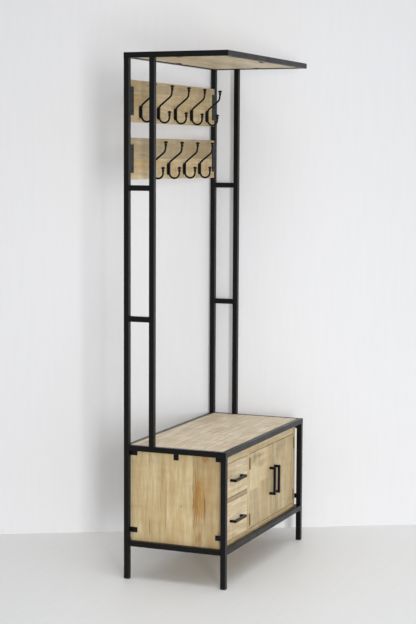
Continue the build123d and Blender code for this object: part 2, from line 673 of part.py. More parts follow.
def door_catch(x):
    """A magnetic catch on the back of the apron, reaching down behind the door."""
    back = CAB_FRONT + APRON_T
    face = FRONT_BACK + STRIKE_T + CATCH_CLEAR
    low = APRON_BOTTOM - CATCH_DROP
    body = block(x - CATCH_W / 2, x + CATCH_W / 2, face, face + CATCH_T, low, low + CATCH_H)
    body = fillet(body.edges().filter_by(Axis.Y), CATCH_CORNER)
    half = CATCH_W / 2 - 2 * CATCH_CORNER
    foot = block(x - half, x + half, back, face + CATCH_CORNER,
                 APRON_BOTTOM + CATCH_CORNER, low + CATCH_H - CATCH_CORNER)
    return body + foot


def doors():
    """Both doors, the fixed halves of their hinges, the pins and the catches."""
    hinges = (("left", DIVIDER_RIGHT + HINGE_GAP / 2, 1), ("right", CAB_IN - HINGE_GAP / 2, -1))
    leaves = []
    pins = []
    for name, x_hinge, side in hinges:
        door(name, x_hinge, side)
        leaves += [hinge_leaf(x_hinge, -side, z, [0, 2]) for z in HINGE_ZS]
        pins += [hinge_pin(x_hinge, z) for z in HINGE_ZS]
    save("hinge_frame_leaves", *leaves)
    save("hinge_pins", *pins)
    save("door_catches", *[door_catch(MEETING_X + side * CATCH_OFFSET) for side in (-1, 1)])


legs_and_posts()
bench_ring()
lower_rails()
shelf_ring()
side_rungs()
foot_glides()
panel_tabs()
hook_board_brackets()
wood_screws()
flat_boards()
cabinet_carcass()
hooks()
drawers()
doors()
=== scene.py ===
"""Hall tree with hooks: the finish and the fine detail of every piece, and a plain studio round it.

A welded frame of black square tube carries a mango wood cabinet with two drawers and two doors,
a bench top, two hook boards and a top shelf. Metres, with the floor at Z 0 and the front at -Y.
"""

import json
import logging
import math
import random
from dataclasses import dataclass
from enum import Enum

import bmesh
import bpy
from mathutils import Matrix, Vector


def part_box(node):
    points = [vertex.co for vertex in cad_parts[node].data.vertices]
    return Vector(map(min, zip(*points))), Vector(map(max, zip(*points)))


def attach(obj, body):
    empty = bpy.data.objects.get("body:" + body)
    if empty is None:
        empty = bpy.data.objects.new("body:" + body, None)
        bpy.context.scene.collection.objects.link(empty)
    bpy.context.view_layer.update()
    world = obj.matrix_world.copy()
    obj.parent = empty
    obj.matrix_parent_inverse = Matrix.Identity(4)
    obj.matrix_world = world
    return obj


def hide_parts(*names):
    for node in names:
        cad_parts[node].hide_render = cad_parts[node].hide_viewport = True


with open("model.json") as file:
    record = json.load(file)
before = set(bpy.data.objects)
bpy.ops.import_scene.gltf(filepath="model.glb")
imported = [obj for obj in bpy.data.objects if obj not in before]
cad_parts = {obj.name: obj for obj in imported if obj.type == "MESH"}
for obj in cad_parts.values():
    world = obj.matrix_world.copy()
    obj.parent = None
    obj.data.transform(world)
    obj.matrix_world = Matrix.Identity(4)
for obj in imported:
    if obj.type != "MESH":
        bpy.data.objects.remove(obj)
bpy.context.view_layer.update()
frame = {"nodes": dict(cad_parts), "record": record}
MM = 0.001
ROOM_FOR_NAMES = 26

log = logging.getLogger("hall_tree")


class Axis(Enum):
    """A direction of the object: X to the right, Y to the back, Z up."""

    X = 0
    Y = 1
    Z = 2

    def unit(self) -> Vector:
        """The unit vector of this direction."""
        return Vector([1.0 if number == self.value else 0.0 for number in range(3)])

    def stretch(self, amount: float) -> tuple[float, float, float]:
        """Scale factors that draw a pattern out along this direction by an amount."""
        return tuple(1.0 / amount if number == self.value else 1.0 for number in range(3))


class MarkKind(Enum):
    """What a mark in a board is: where it starts to fade and where it ends, as shares of its reach."""

    STREAK = (0.6, 1.3)    # a stain that follows the fibres
    KNOT = (0.5, 1.0)      # the round end of a branch
    CRACK = (0.1, 1.0)     # a fine dark check along the fibres


# --- Nodes ---------------------------------------------------------------
def linear(colour: str) -> tuple[float, float, float, float]:
    """Turn an sRGB hex colour into linear light.

    Args:
        colour: The colour, as in "#c8b48a".

    Returns:
        Red, green, blue and an alpha of 1.
    """
    channels = [int(colour[start:start + 2], 16) / 255 for start in (1, 3, 5)]
    rgb = [c / 12.92 if c <= 0.04045 else ((c + 0.055) / 1.055) ** 2.4 for c in channels]
    return (*rgb, 1.0)


def add(tree: bpy.types.NodeTree, kind: str, inputs: dict | None = None, **settings) -> bpy.types.Node:
    """Add a node with its settings and links.

    Args:
        tree: The material's or world's node tree.
        kind: The node's Blender type.
        inputs: What goes in each input, a value or another node's output socket.
        settings: The node's own properties.

    Returns:
        The new node.
    """
    node = tree.nodes.new(kind)
    for name, value in settings.items():
        setattr(node, name, value)
    for key, value in (inputs or {}).items():
        if isinstance(value, bpy.types.NodeSocket):
            tree.links.new(value, node.inputs[key])
        else:
            node.inputs[key].default_value = value
    return node


def between(tree: bpy.types.NodeTree, pattern: bpy.types.NodeSocket, low: float,
            high: float) -> bpy.types.NodeSocket:
    """Bring a pattern of 0 to 1 between two values.

    Args:
        tree: The node tree.
        pattern: The pattern.
        low: What 0 becomes.
        high: What 1 becomes.

    Returns:
        The pattern between the two values.
    """
    return add(tree, "ShaderNodeMapRange", {"Value": pattern, "To Min": low, "To Max": high}).outputs[0]


# --- Finishes ------------------------------------------------------------
@dataclass(frozen=True)
class Finish:
    """A finish that pieces share, made as a material the first time it is asked for."""

    name: str

    def surface(self, tree: bpy.types.NodeTree) -> bpy.types.NodeSocket:
        """Build the shader and return its output. Each finish has its own."""
        raise NotImplementedError

    def material(self) -> bpy.types.Material:
        """The material of this finish."""
        made = bpy.data.materials.get(self.name)
        if made is None:
            made = bpy.data.materials.new(self.name)
            made.use_nodes = True
            made.node_tree.nodes.clear()
            add(made.node_tree, "ShaderNodeOutputMaterial", {"Surface": self.surface(made.node_tree)})
        return made

    def blended(self, tree: bpy.types.NodeTree, share: bpy.types.NodeSocket | float,
                first: bpy.types.NodeSocket | tuple, second: bpy.types.NodeSocket | tuple
                ) -> bpy.types.NodeSocket:
        """Mix two colours.

        Args:
            tree: The material's node tree.
            share: How much of the second colour, 0 to 1.
            first: The colour at 0.
            second: The colour at 1.

        Returns:
            The mixed colour.
        """
        mix = add(tree, "ShaderNodeMix", {0: share, 6: first, 7: second}, data_type="RGBA")
        return mix.outputs[2]


@dataclass(frozen=True)
class CoatedSteel(Finish):
    """Mild steel, powder coated: a satin skin with a fine orange peel that softens reflections."""

    colour: str = "#070708"
    dusty: str = "#0c0c0d"
    roughness: float = 0.36
    shine: float = 0.2       # a matt powder reflects less straight on than plain enamel does
    peel: float = 0.9        # millimetres from one dimple to the next
    depth: float = 0.02      # millimetres

    def surface(self, tree: bpy.types.NodeTree) -> bpy.types.NodeSocket:
        """Satin black with dimples, and a little uneven where it has been handled."""
        place = add(tree, "ShaderNodeTexCoord").outputs["Object"]
        peel = add(tree, "ShaderNodeTexNoise", {"Vector": place, "Scale": 1 / (self.peel * MM),
                                                "Detail": 2.0})
        worn = add(tree, "ShaderNodeTexNoise", {"Vector": place, "Scale": 14.0, "Detail": 4.0})
        gloss = add(tree, "ShaderNodeMapRange", {"Value": worn.outputs["Fac"], "From Min": 0.3,
                                                 "From Max": 0.7,
                                                 "To Min": self.roughness - 0.06,
                                                 "To Max": self.roughness + 0.06})
        bump = add(tree, "ShaderNodeBump", {"Height": peel.outputs["Fac"], "Strength": 0.5,
                                            "Distance": self.depth * MM})
        colour = self.blended(tree, worn.outputs["Fac"], linear(self.colour), linear(self.dusty))
        shader = add(tree, "ShaderNodeBsdfPrincipled", {"Base Color": colour, "Roughness": gloss.outputs[0],
                                                        "Normal": bump.outputs[0], "IOR": 1.5,
                                                        "Specular IOR Level": self.shine})
        return shader.outputs["BSDF"]


@dataclass(frozen=True)
class PlatedSteel(Finish):
    """Zinc-plated sheet steel: a soft silver with faint cloudy crystals."""

    colour: str = "#b9bcbf"
    cloud: str = "#a3a6aa"
    roughness: float = 0.34
    crystal: float = 3.0     # millimetres

    def surface(self, tree: bpy.types.NodeTree) -> bpy.types.NodeSocket:
        """Bare plated metal, mottled by its crystals."""
        place = add(tree, "ShaderNodeTexCoord").outputs["Object"]
        cells = add(tree, "ShaderNodeTexVoronoi", {"Vector": place, "Scale": 1 / (self.crystal * MM)})
        drawn = add(tree, "ShaderNodeTexNoise", {"Vector": place, "Scale": 60.0, "Detail": 4.0})
        gloss = between(tree, drawn.outputs["Fac"], self.roughness - 0.08, self.roughness + 0.08)
        colour = self.blended(tree, cells.outputs["Distance"], linear(self.colour), linear(self.cloud))
        shader = add(tree, "ShaderNodeBsdfPrincipled", {"Base Color": colour, "Metallic": 1.0,
                                                        "Roughness": gloss})
        return shader.outputs["BSDF"]


@dataclass(frozen=True)
class MouldedPlastic(Finish):
    """Injection-moulded polypropylene: an even colour with a fine spark-eroded grain."""

    colour: str = "#1d1c1b"
    roughness: float = 0.55
    grit: float = 0.5        # millimetres

    def surface(self, tree: bpy.types.NodeTree) -> bpy.types.NodeSocket:
        """A dull skin with the mould's fine grain."""
        place = add(tree, "ShaderNodeTexCoord").outputs["Object"]
        grit = add(tree, "ShaderNodeTexNoise", {"Vector": place, "Scale": 1 / (self.grit * MM),
                                                "Detail": 3.0})
        bump = add(tree, "ShaderNodeBump", {"Height": grit.outputs["Fac"], "Strength": 0.4,
                                            "Distance": 0.03 * MM})
        gloss = between(tree, grit.outputs["Fac"], self.roughness - 0.07, self.roughness + 0.07)
        shader = add(tree, "ShaderNodeBsdfPrincipled", {"Base Color": linear(self.colour), "IOR": 1.49,
                                                        "Roughness": gloss, "Normal": bump.outputs[0]})
        return shader.outputs["BSDF"]


@dataclass(frozen=True)
class Mark:
    """One knot, stain or crack, with its place and half sizes in millimetres."""

    kind: MarkKind
    centre: tuple[float, float, float]
    reach: tuple[float, float, float]
    colour: str
    strength: float = 1.0

    def share(self, tree: bpy.types.NodeTree, place: bpy.types.NodeSocket,
              fibres: bpy.types.NodeSocket) -> bpy.types.NodeSocket:
        """How strongly the mark shows at each point, 0 to 1.

        Args:
            tree: The material's node tree.
            place: The point, slightly bent by the grain.
            fibres: The fine grain there, 0 to 1.

        Returns:
            The mark's share.
        """
        middle = tuple(value * MM for value in self.centre)
        size = tuple(value * MM for value in self.reach)
        from_middle = add(tree, "ShaderNodeVectorMath", {0: place, 1: middle}, operation="SUBTRACT")
        scaled = add(tree, "ShaderNodeVectorMath", {0: from_middle.outputs[0], 1: size}, operation="DIVIDE")
        away = add(tree, "ShaderNodeVectorMath", {0: scaled.outputs[0]},
                   operation="LENGTH").outputs["Value"]
        edge, end = self.kind.value
        if self.kind is MarkKind.STREAK:
            # The stain runs further along some fibres than along others.
            away = add(tree, "ShaderNodeMath", {0: fibres, 1: 0.9, 2: away},
                       operation="MULTIPLY_ADD").outputs[0]
        fade = add(tree, "ShaderNodeMapRange", {"Value": away, "From Min": edge, "From Max": end,
                                                "To Min": self.strength, "To Max": 0.0},
                   interpolation_type="SMOOTHSTEP").outputs[0]
        if self.kind is MarkKind.CRACK:
            return fade
        if self.kind is MarkKind.KNOT:
            rings = add(tree, "ShaderNodeMath", {0: away, 1: 17.0}, operation="MULTIPLY").outputs[0]
            wave = add(tree, "ShaderNodeMath", {0: rings}, operation="SINE").outputs[0]
            within = add(tree, "ShaderNodeMapRange", {"Value": wave, "From Min": -1.0, "To Min": 0.55,
                                                      "To Max": 1.0}).outputs[0]
        else:
            within = add(tree, "ShaderNodeMapRange", {"Value": fibres, "From Max": 0.8,
                                                      "To Min": 1.0, "To Max": 0.6}).outputs[0]
        return add(tree, "ShaderNodeMath", {0: fade, 1: within}, operation="MULTIPLY").outputs[0]


@dataclass(frozen=True)
class MangoWood(Finish):
    """Solid mango, planed and matt lacquered: cream to tan, with brown streaks and short open pores."""

    grain: Axis = Axis.X
    ripple: Axis = Axis.Z    # the direction that the faint bars across the fibres run
    cream: str = "#dccba2"
    tan: str = "#c4aa78"
    brown: str = "#97784a"
    umber: str = "#6f5f45"
    honey: str = "#bd8a3f"
    stained: float = 0.35    # how much honey-coloured stain there is
    marks: tuple[Mark, ...] = ()

    def drawn_out(self, tree: bpy.types.NodeTree, place: bpy.types.NodeSocket, width: float,
                  longer: float, low: float = 0.36, high: float = 0.64) -> bpy.types.NodeSocket:
        """A cloudy pattern drawn out along the fibres.

        Args:
            tree: The material's node tree.
            place: The point in the wood.
            width: Millimetres from one streak to the next.
            longer: How many times longer a streak is than it is wide.
            low: The noise that gives 0.
            high: The noise that gives 1.

        Returns:
            The pattern, 0 to 1.
        """
        squeezed = add(tree, "ShaderNodeVectorMath", {0: place, 1: self.grain.stretch(longer)},
                       operation="MULTIPLY")
        noise = add(tree, "ShaderNodeTexNoise", {"Vector": squeezed.outputs[0], "Scale": 1 / (width * MM),
                                                 "Detail": 3.0, "Roughness": 0.6})
        return add(tree, "ShaderNodeMapRange", {"Value": noise.outputs["Fac"], "From Min": low,
                                                "From Max": high}).outputs[0]

    def weakened(self, tree: bpy.types.NodeTree, pattern: bpy.types.NodeSocket,
                 amount: float) -> bpy.types.NodeSocket:
        """A pattern times an amount."""
        return add(tree, "ShaderNodeMath", {0: pattern, 1: amount}, operation="MULTIPLY").outputs[0]

    def surface(self, tree: bpy.types.NodeTree) -> bpy.types.NodeSocket:
        """Streaks, fibres, pores and marks, each plank with its own tone and its own grain."""
        place = add(tree, "ShaderNodeTexCoord").outputs["Object"]
        shift = add(tree, "ShaderNodeAttribute", attribute_name="plank_shift").outputs["Vector"]
        tone = add(tree, "ShaderNodeAttribute", attribute_name="plank_tone").outputs["Fac"]
        own = add(tree, "ShaderNodeVectorMath", {0: place, 1: shift}, operation="ADD").outputs[0]
        # The fibres wander by a few millimetres over the length of a hand.
        calm = add(tree, "ShaderNodeVectorMath", {0: own, 1: self.grain.stretch(3)}, operation="MULTIPLY")
        sway = add(tree, "ShaderNodeTexNoise", {"Vector": calm.outputs[0], "Scale": 1 / (80 * MM),
                                                "Detail": 2.0})
        level = add(tree, "ShaderNodeVectorMath", {0: sway.outputs["Color"], 1: (0.5, 0.5, 0.5)},
                    operation="SUBTRACT")
        bend = add(tree, "ShaderNodeVectorMath", {0: level.outputs[0], 3: 30 * MM}, operation="SCALE")
        bent = add(tree, "ShaderNodeVectorMath", {0: own, 1: bend.outputs[0]}, operation="ADD").outputs[0]

        figure = self.drawn_out(tree, bent, width=38, longer=6)
        bands = self.drawn_out(tree, bent, width=11, longer=14)
        fibres = self.drawn_out(tree, bent, width=2.4, longer=40, low=0.4, high=0.66)
        pores = self.drawn_out(tree, own, width=1.3, longer=12, low=0.62, high=0.7)
        stain = self.drawn_out(tree, bent, width=52, longer=5, low=0.54, high=0.7)
        bars = add(tree, "ShaderNodeVectorMath", {0: bent, 1: self.ripple.stretch(5)}, operation="MULTIPLY")
        rippled = add(tree, "ShaderNodeTexNoise", {"Vector": bars.outputs[0], "Scale": 1 / (26 * MM),
                                                   "Detail": 1.0})
        ripple = add(tree, "ShaderNodeMapRange", {"Value": rippled.outputs["Fac"], "From Min": 0.45,
                                                  "From Max": 0.7}).outputs[0]

        colour = self.blended(tree, self.weakened(tree, figure, 0.8), linear(self.cream), linear(self.tan))
        colour = self.blended(tree, self.weakened(tree, bands, 0.42), colour, linear(self.brown))
        colour = self.blended(tree, self.weakened(tree, stain, self.stained), colour, linear(self.honey))
        colour = self.blended(tree, self.weakened(tree, ripple, 0.16), colour, linear(self.umber))
        colour = self.blended(tree, self.weakened(tree, fibres, 0.2), colour, linear(self.brown))
        darker = add(tree, "ShaderNodeMath", {0: tone, 1: 0.0}, operation="MAXIMUM").outputs[0]
        turned = add(tree, "ShaderNodeMath", {0: tone, 1: -1.0}, operation="MULTIPLY").outputs[0]
        paler = add(tree, "ShaderNodeMath", {0: turned, 1: 0.0}, operation="MAXIMUM").outputs[0]
        colour = self.blended(tree, darker, colour, linear(self.umber))
        colour = self.blended(tree, paler, colour, linear(self.cream))
        colour = self.blended(tree, self.weakened(tree, pores, 0.35), colour, linear(self.umber))
        for mark in self.marks:
            wobble = add(tree, "ShaderNodeVectorMath", {0: level.outputs[0], 3: 24 * MM}, operation="SCALE")
            moved = add(tree, "ShaderNodeVectorMath", {0: place, 1: wobble.outputs[0]}, operation="ADD")
            share = mark.share(tree, moved.outputs[0], fibres)
            colour = self.blended(tree, share, colour, linear(mark.colour))

        relief = add(tree, "ShaderNodeMath", {0: fibres, 1: pores}, operation="ADD").outputs[0]
        bump = add(tree, "ShaderNodeBump", {"Height": relief, "Strength": 0.5, "Distance": 0.08 * MM},
                   invert=True)
        gloss = between(tree, fibres, 0.46, 0.58)
        shader = add(tree, "ShaderNodeBsdfPrincipled", {"Base Color": colour, "Roughness": gloss,
                                                        "Normal": bump.outputs[0], "IOR": 1.46})
        return shader.outputs["BSDF"]


@dataclass(frozen=True)
class Plywood(Finish):
    """Thin poplar plywood, raw: pale faces, and dark and light plies on its edges."""

    through: Axis = Axis.Y   # the direction of its thickness
    grain: Axis = Axis.X
    face: str = "#c9b188"
    ply: str = "#a98d62"
    veneer: float = 1.5      # millimetres, one ply

    def surface(self, tree: bpy.types.NodeTree) -> bpy.types.NodeSocket:
        """Fine straight fibres on the faces and the plies on the edges."""
        place = add(tree, "ShaderNodeTexCoord").outputs["Object"]
        squeezed = add(tree, "ShaderNodeVectorMath", {0: place, 1: self.grain.stretch(30)},
                       operation="MULTIPLY")
        fibres = add(tree, "ShaderNodeTexNoise", {"Vector": squeezed.outputs[0], "Scale": 1 / (3 * MM),
                                                  "Detail": 4.0})
        along = add(tree, "ShaderNodeSeparateXYZ", {0: place}).outputs[self.through.value]
        turns = add(tree, "ShaderNodeMath", {0: along, 1: math.pi / (self.veneer * MM)},
                    operation="MULTIPLY")
        wave = add(tree, "ShaderNodeMath", {0: turns.outputs[0]}, operation="SINE").outputs[0]
        plies = add(tree, "ShaderNodeMapRange", {"Value": wave, "From Min": -0.3, "From Max": 0.3,
                                                 "To Max": 0.6}).outputs[0]
        colour = self.blended(tree, plies, linear(self.face), linear(self.ply))
        colour = self.blended(tree, fibres.outputs["Fac"], colour, linear(self.ply))
        bump = add(tree, "ShaderNodeBump", {"Height": fibres.outputs["Fac"], "Strength": 0.4,
                                            "Distance": 0.1 * MM})
        gloss = between(tree, fibres.outputs["Fac"], 0.6, 0.8)
        shader = add(tree, "ShaderNodeBsdfPrincipled", {"Base Color": colour, "Roughness": gloss,
                                                        "Normal": bump.outputs[0]})
        return shader.outputs["BSDF"]


@dataclass(frozen=True)
class StudioPaint(Finish):
    """Matt white emulsion, seen from its painted side only, so that a wall never hides the object."""

    colour: str = "#e9e9ea"
    shade: str = "#e4e4e6"
    brushed: Axis = Axis.Z
    roughness: float = 0.75
    one_sided: bool = False

    def surface(self, tree: bpy.types.NodeTree) -> bpy.types.NodeSocket:
        """An even pale coat with faint long brush marks."""
        place = add(tree, "ShaderNodeTexCoord").outputs["Object"]
        squeezed = add(tree, "ShaderNodeVectorMath", {0: place, 1: self.brushed.stretch(9)},
                       operation="MULTIPLY")
        marks = add(tree, "ShaderNodeTexNoise", {"Vector": squeezed.outputs[0], "Scale": 55.0,
                                                 "Detail": 4.0})
        colour = self.blended(tree, marks.outputs["Fac"], linear(self.colour), linear(self.shade))
        bump = add(tree, "ShaderNodeBump", {"Height": marks.outputs["Fac"], "Strength": 0.3,
                                            "Distance": 1 * MM})
        shader = add(tree, "ShaderNodeBsdfPrincipled", {"Base Color": colour, "Roughness": self.roughness,
                                                        "Normal": bump.outputs[0]}).outputs["BSDF"]
        if not self.one_sided:
            return shader
        behind = add(tree, "ShaderNodeNewGeometry").outputs["Backfacing"]
        clear = add(tree, "ShaderNodeBsdfTransparent").outputs[0]
        return add(tree, "ShaderNodeMixShader", {0: behind, 1: shader, 2: clear}).outputs[0]


FRAME_STEEL = CoatedSteel("powder_coated_tube")
HANDLE_STEEL = CoatedSteel("powder_coated_handle", colour="#070708", dusty="#0b0b0c", roughness=0.4)
HOOK_IRON = CoatedSteel("painted_cast_iron", colour="#070708", dusty="#0b0b0c", roughness=0.36, peel=1.6,
                        depth=0.06)
SCREW_STEEL = CoatedSteel("black_oxide_screw", colour="#141416", dusty="#1d1d20", roughness=0.38, peel=0.6)
SLIDE_STEEL = PlatedSteel("zinc_plated_slide")
HINGE_STEEL = PlatedSteel("brassed_hinge", colour="#a08f6f", cloud="#8b7b5d", roughness=0.42)
GLIDE_PLASTIC = MouldedPlastic("black_glide_plastic")
CATCH_PLASTIC = MouldedPlastic("brown_catch_plastic", colour="#4a3526")


# --- Mesh helpers --------------------------------------------------------
def finished(name: str, shape: bmesh.types.BMesh, finish: Finish, body: str) -> bpy.types.Object:
    """Make a piece of a finished shape, dress it and let it ride.

    Args:
        name: The piece's name.
        shape: Its shape, in place; it is freed.
        finish: What it is finished with.
        body: The body that it moves with.

    Returns:
        The new piece.
    """
    mesh = bpy.data.meshes.new(name)
    shape.to_mesh(mesh)
    shape.free()
    mesh.materials.append(finish.material())
    piece = bpy.data.objects.new(name, mesh)
    bpy.context.scene.collection.objects.link(piece)
    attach(piece, body)
    log.info("%-*s rides on %s, %d faces", ROOM_FOR_NAMES, name, body, len(mesh.polygons))
    return piece


def dress(finish: Finish, *nodes: str) -> None:
    """Give CAD pieces a finish.

    Args:
        finish: The finish.
        nodes: The names of the pieces.
    """
    for node in nodes:
        piece = frame["nodes"][node]
        if not piece.material_slots:
            piece.data.materials.append(None)
        for place in piece.material_slots:
            place.material = finish.material()
        log.info("%-*s keeps its shape, in %s", ROOM_FOR_NAMES, node, finish.name)


def solids_of(node: str) -> list[list[Vector]]:
    """The corners of each separate solid of a CAD piece.

    Args:
        node: The piece's name.

    Returns:
        One list of points for each solid, in the order of their places.
    """
    shape = bmesh.new()
    shape.from_mesh(frame["nodes"][node].data)
    bmesh.ops.remove_doubles(shape, verts=shape.verts, dist=0.01 * MM)
    found, left = [], set(shape.verts)
    while left:
        group, edge = set(), {left.pop()}
        while edge:
            group |= edge
            edge = {link.other_vert(vert) for vert in edge for link in vert.link_edges} - group
        left -= group
        found.append([vert.co.copy() for vert in group])
    shape.free()
    return sorted(found, key=lambda points: tuple(round(sum(p[i] for p in points) / len(points), 4)
                                                  for i in range(3)))


def box_of(points: list[Vector]) -> tuple[Vector, Vector]:
    """The lowest and the highest corner of some points."""
    low = Vector([min(p[i] for p in points) for i in range(3)])
    high = Vector([max(p[i] for p in points) for i in range(3)])
    return low, high


# --- Boards glued up from planks -----------------------------------------
@dataclass(frozen=True)
class Plank:
    """One plank of a board, darker than the rest where its tone is above 0 and paler below."""

    share: float
    tone: float = 0.0
    joint: float | None = None       # where a second length is butted on, as a share of the length
    second_tone: float = 0.0


@dataclass(frozen=True)
class PlankBoard:
    """A board glued edge to edge from planks, with its outer edges eased and a fine groove at each seam."""

    node: str
    body: str
    finish: MangoWood
    across: Axis
    planks: tuple[Plank, ...]
    ease: float = 0.8                # millimetres, the outer edges
    groove: float = 0.25             # millimetres, the edges along a seam
    glue: float = 0.01               # millimetres, half a glue line

    def lengths(self, plank: Plank) -> list[tuple[float, float, float]]:
        """The span and tone of each length in a plank, as shares of the board's length."""
        if plank.joint is None:
            return [(0.0, 1.0, plank.tone)]
        return [(0.0, plank.joint, plank.tone), (plank.joint, 1.0, plank.second_tone)]

    def whole(self) -> bmesh.types.BMesh:
        """The board before it is divided, with eased edges."""
        low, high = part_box(self.node)
        shape = bmesh.new()
        place = Matrix.Translation((low + high) / 2) @ Matrix.Diagonal((*(high - low), 1.0))
        bmesh.ops.create_cube(shape, size=1.0, matrix=place)
        bmesh.ops.bevel(shape, geom=shape.edges[:], offset=self.ease * MM, offset_type="OFFSET", segments=3,
                        profile=0.5, affect="EDGES", clamp_overlap=True, material=-1)
        return shape

    def cut(self, shape: bmesh.types.BMesh, axis: Axis, at: float, side: int) -> None:
        """Cut the shape square to an axis and ease the new edges.

        Args:
            shape: What is cut.
            axis: The direction across the cut.
            at: The place of the cut.
            side: 1 to take away what is above it, -1 to take away what is below.
        """
        geometry = shape.verts[:] + shape.edges[:] + shape.faces[:]
        sawn_at = at - side * self.glue * MM
        sawn = bmesh.ops.bisect_plane(shape, geom=geometry, plane_co=axis.unit() * sawn_at,
                                      plane_no=axis.unit() * side, clear_outer=True)
        rim = [item for item in sawn["geom_cut"] if isinstance(item, bmesh.types.BMEdge)]
        bmesh.ops.contextual_create(shape, geom=rim)
        bmesh.ops.bevel(shape, geom=rim, offset=self.groove * MM, offset_type="OFFSET", segments=1,
                        profile=0.5, affect="EDGES", clamp_overlap=True, material=-1)

    def build(self) -> bpy.types.Object:
        """Build the board in place of its CAD piece and return it."""
        low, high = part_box(self.node)
        chance = random.Random(self.node)
        wide, long = self.across.value, self.finish.grain.value
        board = bmesh.new()
        start = low[wide]
        for number, plank in enumerate(self.planks):
            end = start + plank.share * (high[wide] - low[wide])
            for first, last, tone in self.lengths(plank):
                part = self.whole()
                if number > 0:
                    self.cut(part, self.across, start, -1)
                if number < len(self.planks) - 1:
                    self.cut(part, self.across, end, 1)
                span = high[long] - low[long]
                if first > 0:
                    self.cut(part, self.finish.grain, low[long] + first * span, -1)
                if last < 1:
                    self.cut(part, self.finish.grain, low[long] + last * span, 1)
                bmesh.ops.recalc_face_normals(part, faces=part.faces)
                tones = part.verts.layers.float.new("plank_tone")
                shifts = part.verts.layers.float_vector.new("plank_shift")
                shift = Vector([chance.uniform(-3, 3) for _ in range(3)])
                for vert in part.verts:
                    vert[tones] = tone
                    vert[shifts] = shift
                loose = bpy.data.meshes.new("plank")
                part.to_mesh(loose)
                part.free()
                board.from_mesh(loose)
                bpy.data.meshes.remove(loose)
            start = end
        piece = finished(f"planked_{self.node}", board, self.finish, self.body)
        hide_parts(self.node)
        return piece


# --- Sub-assemblies ------------------------------------------------------
@dataclass(frozen=True)
class SteelFrame:
    """The welded frame: tubes, tabs and brackets, and a small weld bead at each butted end."""

    bead: float = 1.3                # millimetres, radius of a weld bead
    ripple: float = 1.5              # millimetres from one ripple of a bead to the next
    inset: float = 1.6               # millimetres, bead end from the tube's edge
    tip: float = 0.55                # a bead's ends, as a share of its radius
    trough: float = 0.82             # between two ripples, as a share of its radius
    sides: int = 10

    def weld_bead(self, shape: bmesh.types.BMesh, middle: Vector, along: Axis, length: float) -> None:
        """Lay one rippled bead of weld metal.

        Args:
            shape: Where the bead is added.
            middle: The middle of the bead.
            along: The direction that it runs.
            length: Its length.
        """
        steps = max(4, round(length / (self.ripple * MM)))
        turn = Vector((0, 0, 1)).rotation_difference(along.unit()).to_matrix().to_4x4()
        start = middle - along.unit() * length / 2
        ring = bmesh.ops.create_circle(shape, cap_ends=True, radius=self.bead * self.tip * MM,
                                       segments=self.sides, matrix=Matrix.Translation(start) @ turn)["verts"]
        last = next(face for face in ring[0].link_faces)
        for step in range(1, steps + 1):
            grown = bmesh.ops.extrude_face_region(shape, geom=[last])["geom"]
            verts = [item for item in grown if isinstance(item, bmesh.types.BMVert)]
            if step > 1:
                bmesh.ops.delete(shape, geom=[last], context="FACES_ONLY")
            last = next(item for item in grown if isinstance(item, bmesh.types.BMFace))
            centre = sum((vert.co for vert in verts), Vector()) / len(verts)
            crest = self.bead * MM * (1.0 if step % 2 else self.trough)
            if step == steps:
                crest = self.bead * self.tip * MM
            for vert in verts:
                vert.co = centre + (vert.co - centre).normalized() * crest
            bmesh.ops.translate(shape, verts=verts, vec=along.unit() * length / steps)

    def butt_ends(self, node: str, along: Axis, across: Axis) -> list[tuple[Vector, Axis, float]]:
        """Where beads lie on the ends of tubes that are butted to another tube.

        Args:
            node: The CAD piece that holds the tubes.
            along: The direction that the tubes run.
            across: The direction that the beads run.

        Returns:
            The middle, direction and length of each bead.
        """
        third = next(axis for axis in Axis if axis not in (along, across))
        beads = []
        for points in solids_of(node):
            low, high = box_of(points)
            length = high[across.value] - low[across.value] - 2 * self.inset * MM
            for end in (low, high):
                for side in (low, high):
                    middle = (low + high) / 2
                    middle[along.value] = end[along.value]
                    middle[third.value] = side[third.value]
                    beads.append((middle, across, length))
        return beads

    def build(self) -> None:
        """Dress the steel and lay the beads."""
        nodes = frame["record"]["behaviour"]["bodies"]["frame"]
        tubes = [node for node in nodes if node != "drawer_rail"
                 and node.endswith(("_rail", "_leg", "_post", "_upright", "_rungs"))]
        dress(FRAME_STEEL, *tubes, "panel_tabs", "hook_board_brackets")
        dress(GLIDE_PLASTIC, "foot_glides")
        beads = self.butt_ends("side_rungs", Axis.Y, Axis.X)
        for side in ("left", "right"):
            beads += self.butt_ends(f"lower_{side}_rail", Axis.Y, Axis.X)
            beads += self.butt_ends(f"{side}_upper_post", Axis.Z, Axis.X)
        for end in ("front", "rear"):
            beads += self.butt_ends(f"lower_{end}_rail", Axis.X, Axis.Y)
        shape = bmesh.new()
        for middle, along, length in beads:
            self.weld_bead(shape, middle, along, length)
        bmesh.ops.recalc_face_normals(shape, faces=shape.faces)
        piece = finished("weld_beads", shape, FRAME_STEEL, "frame")
        piece.data.shade_smooth()


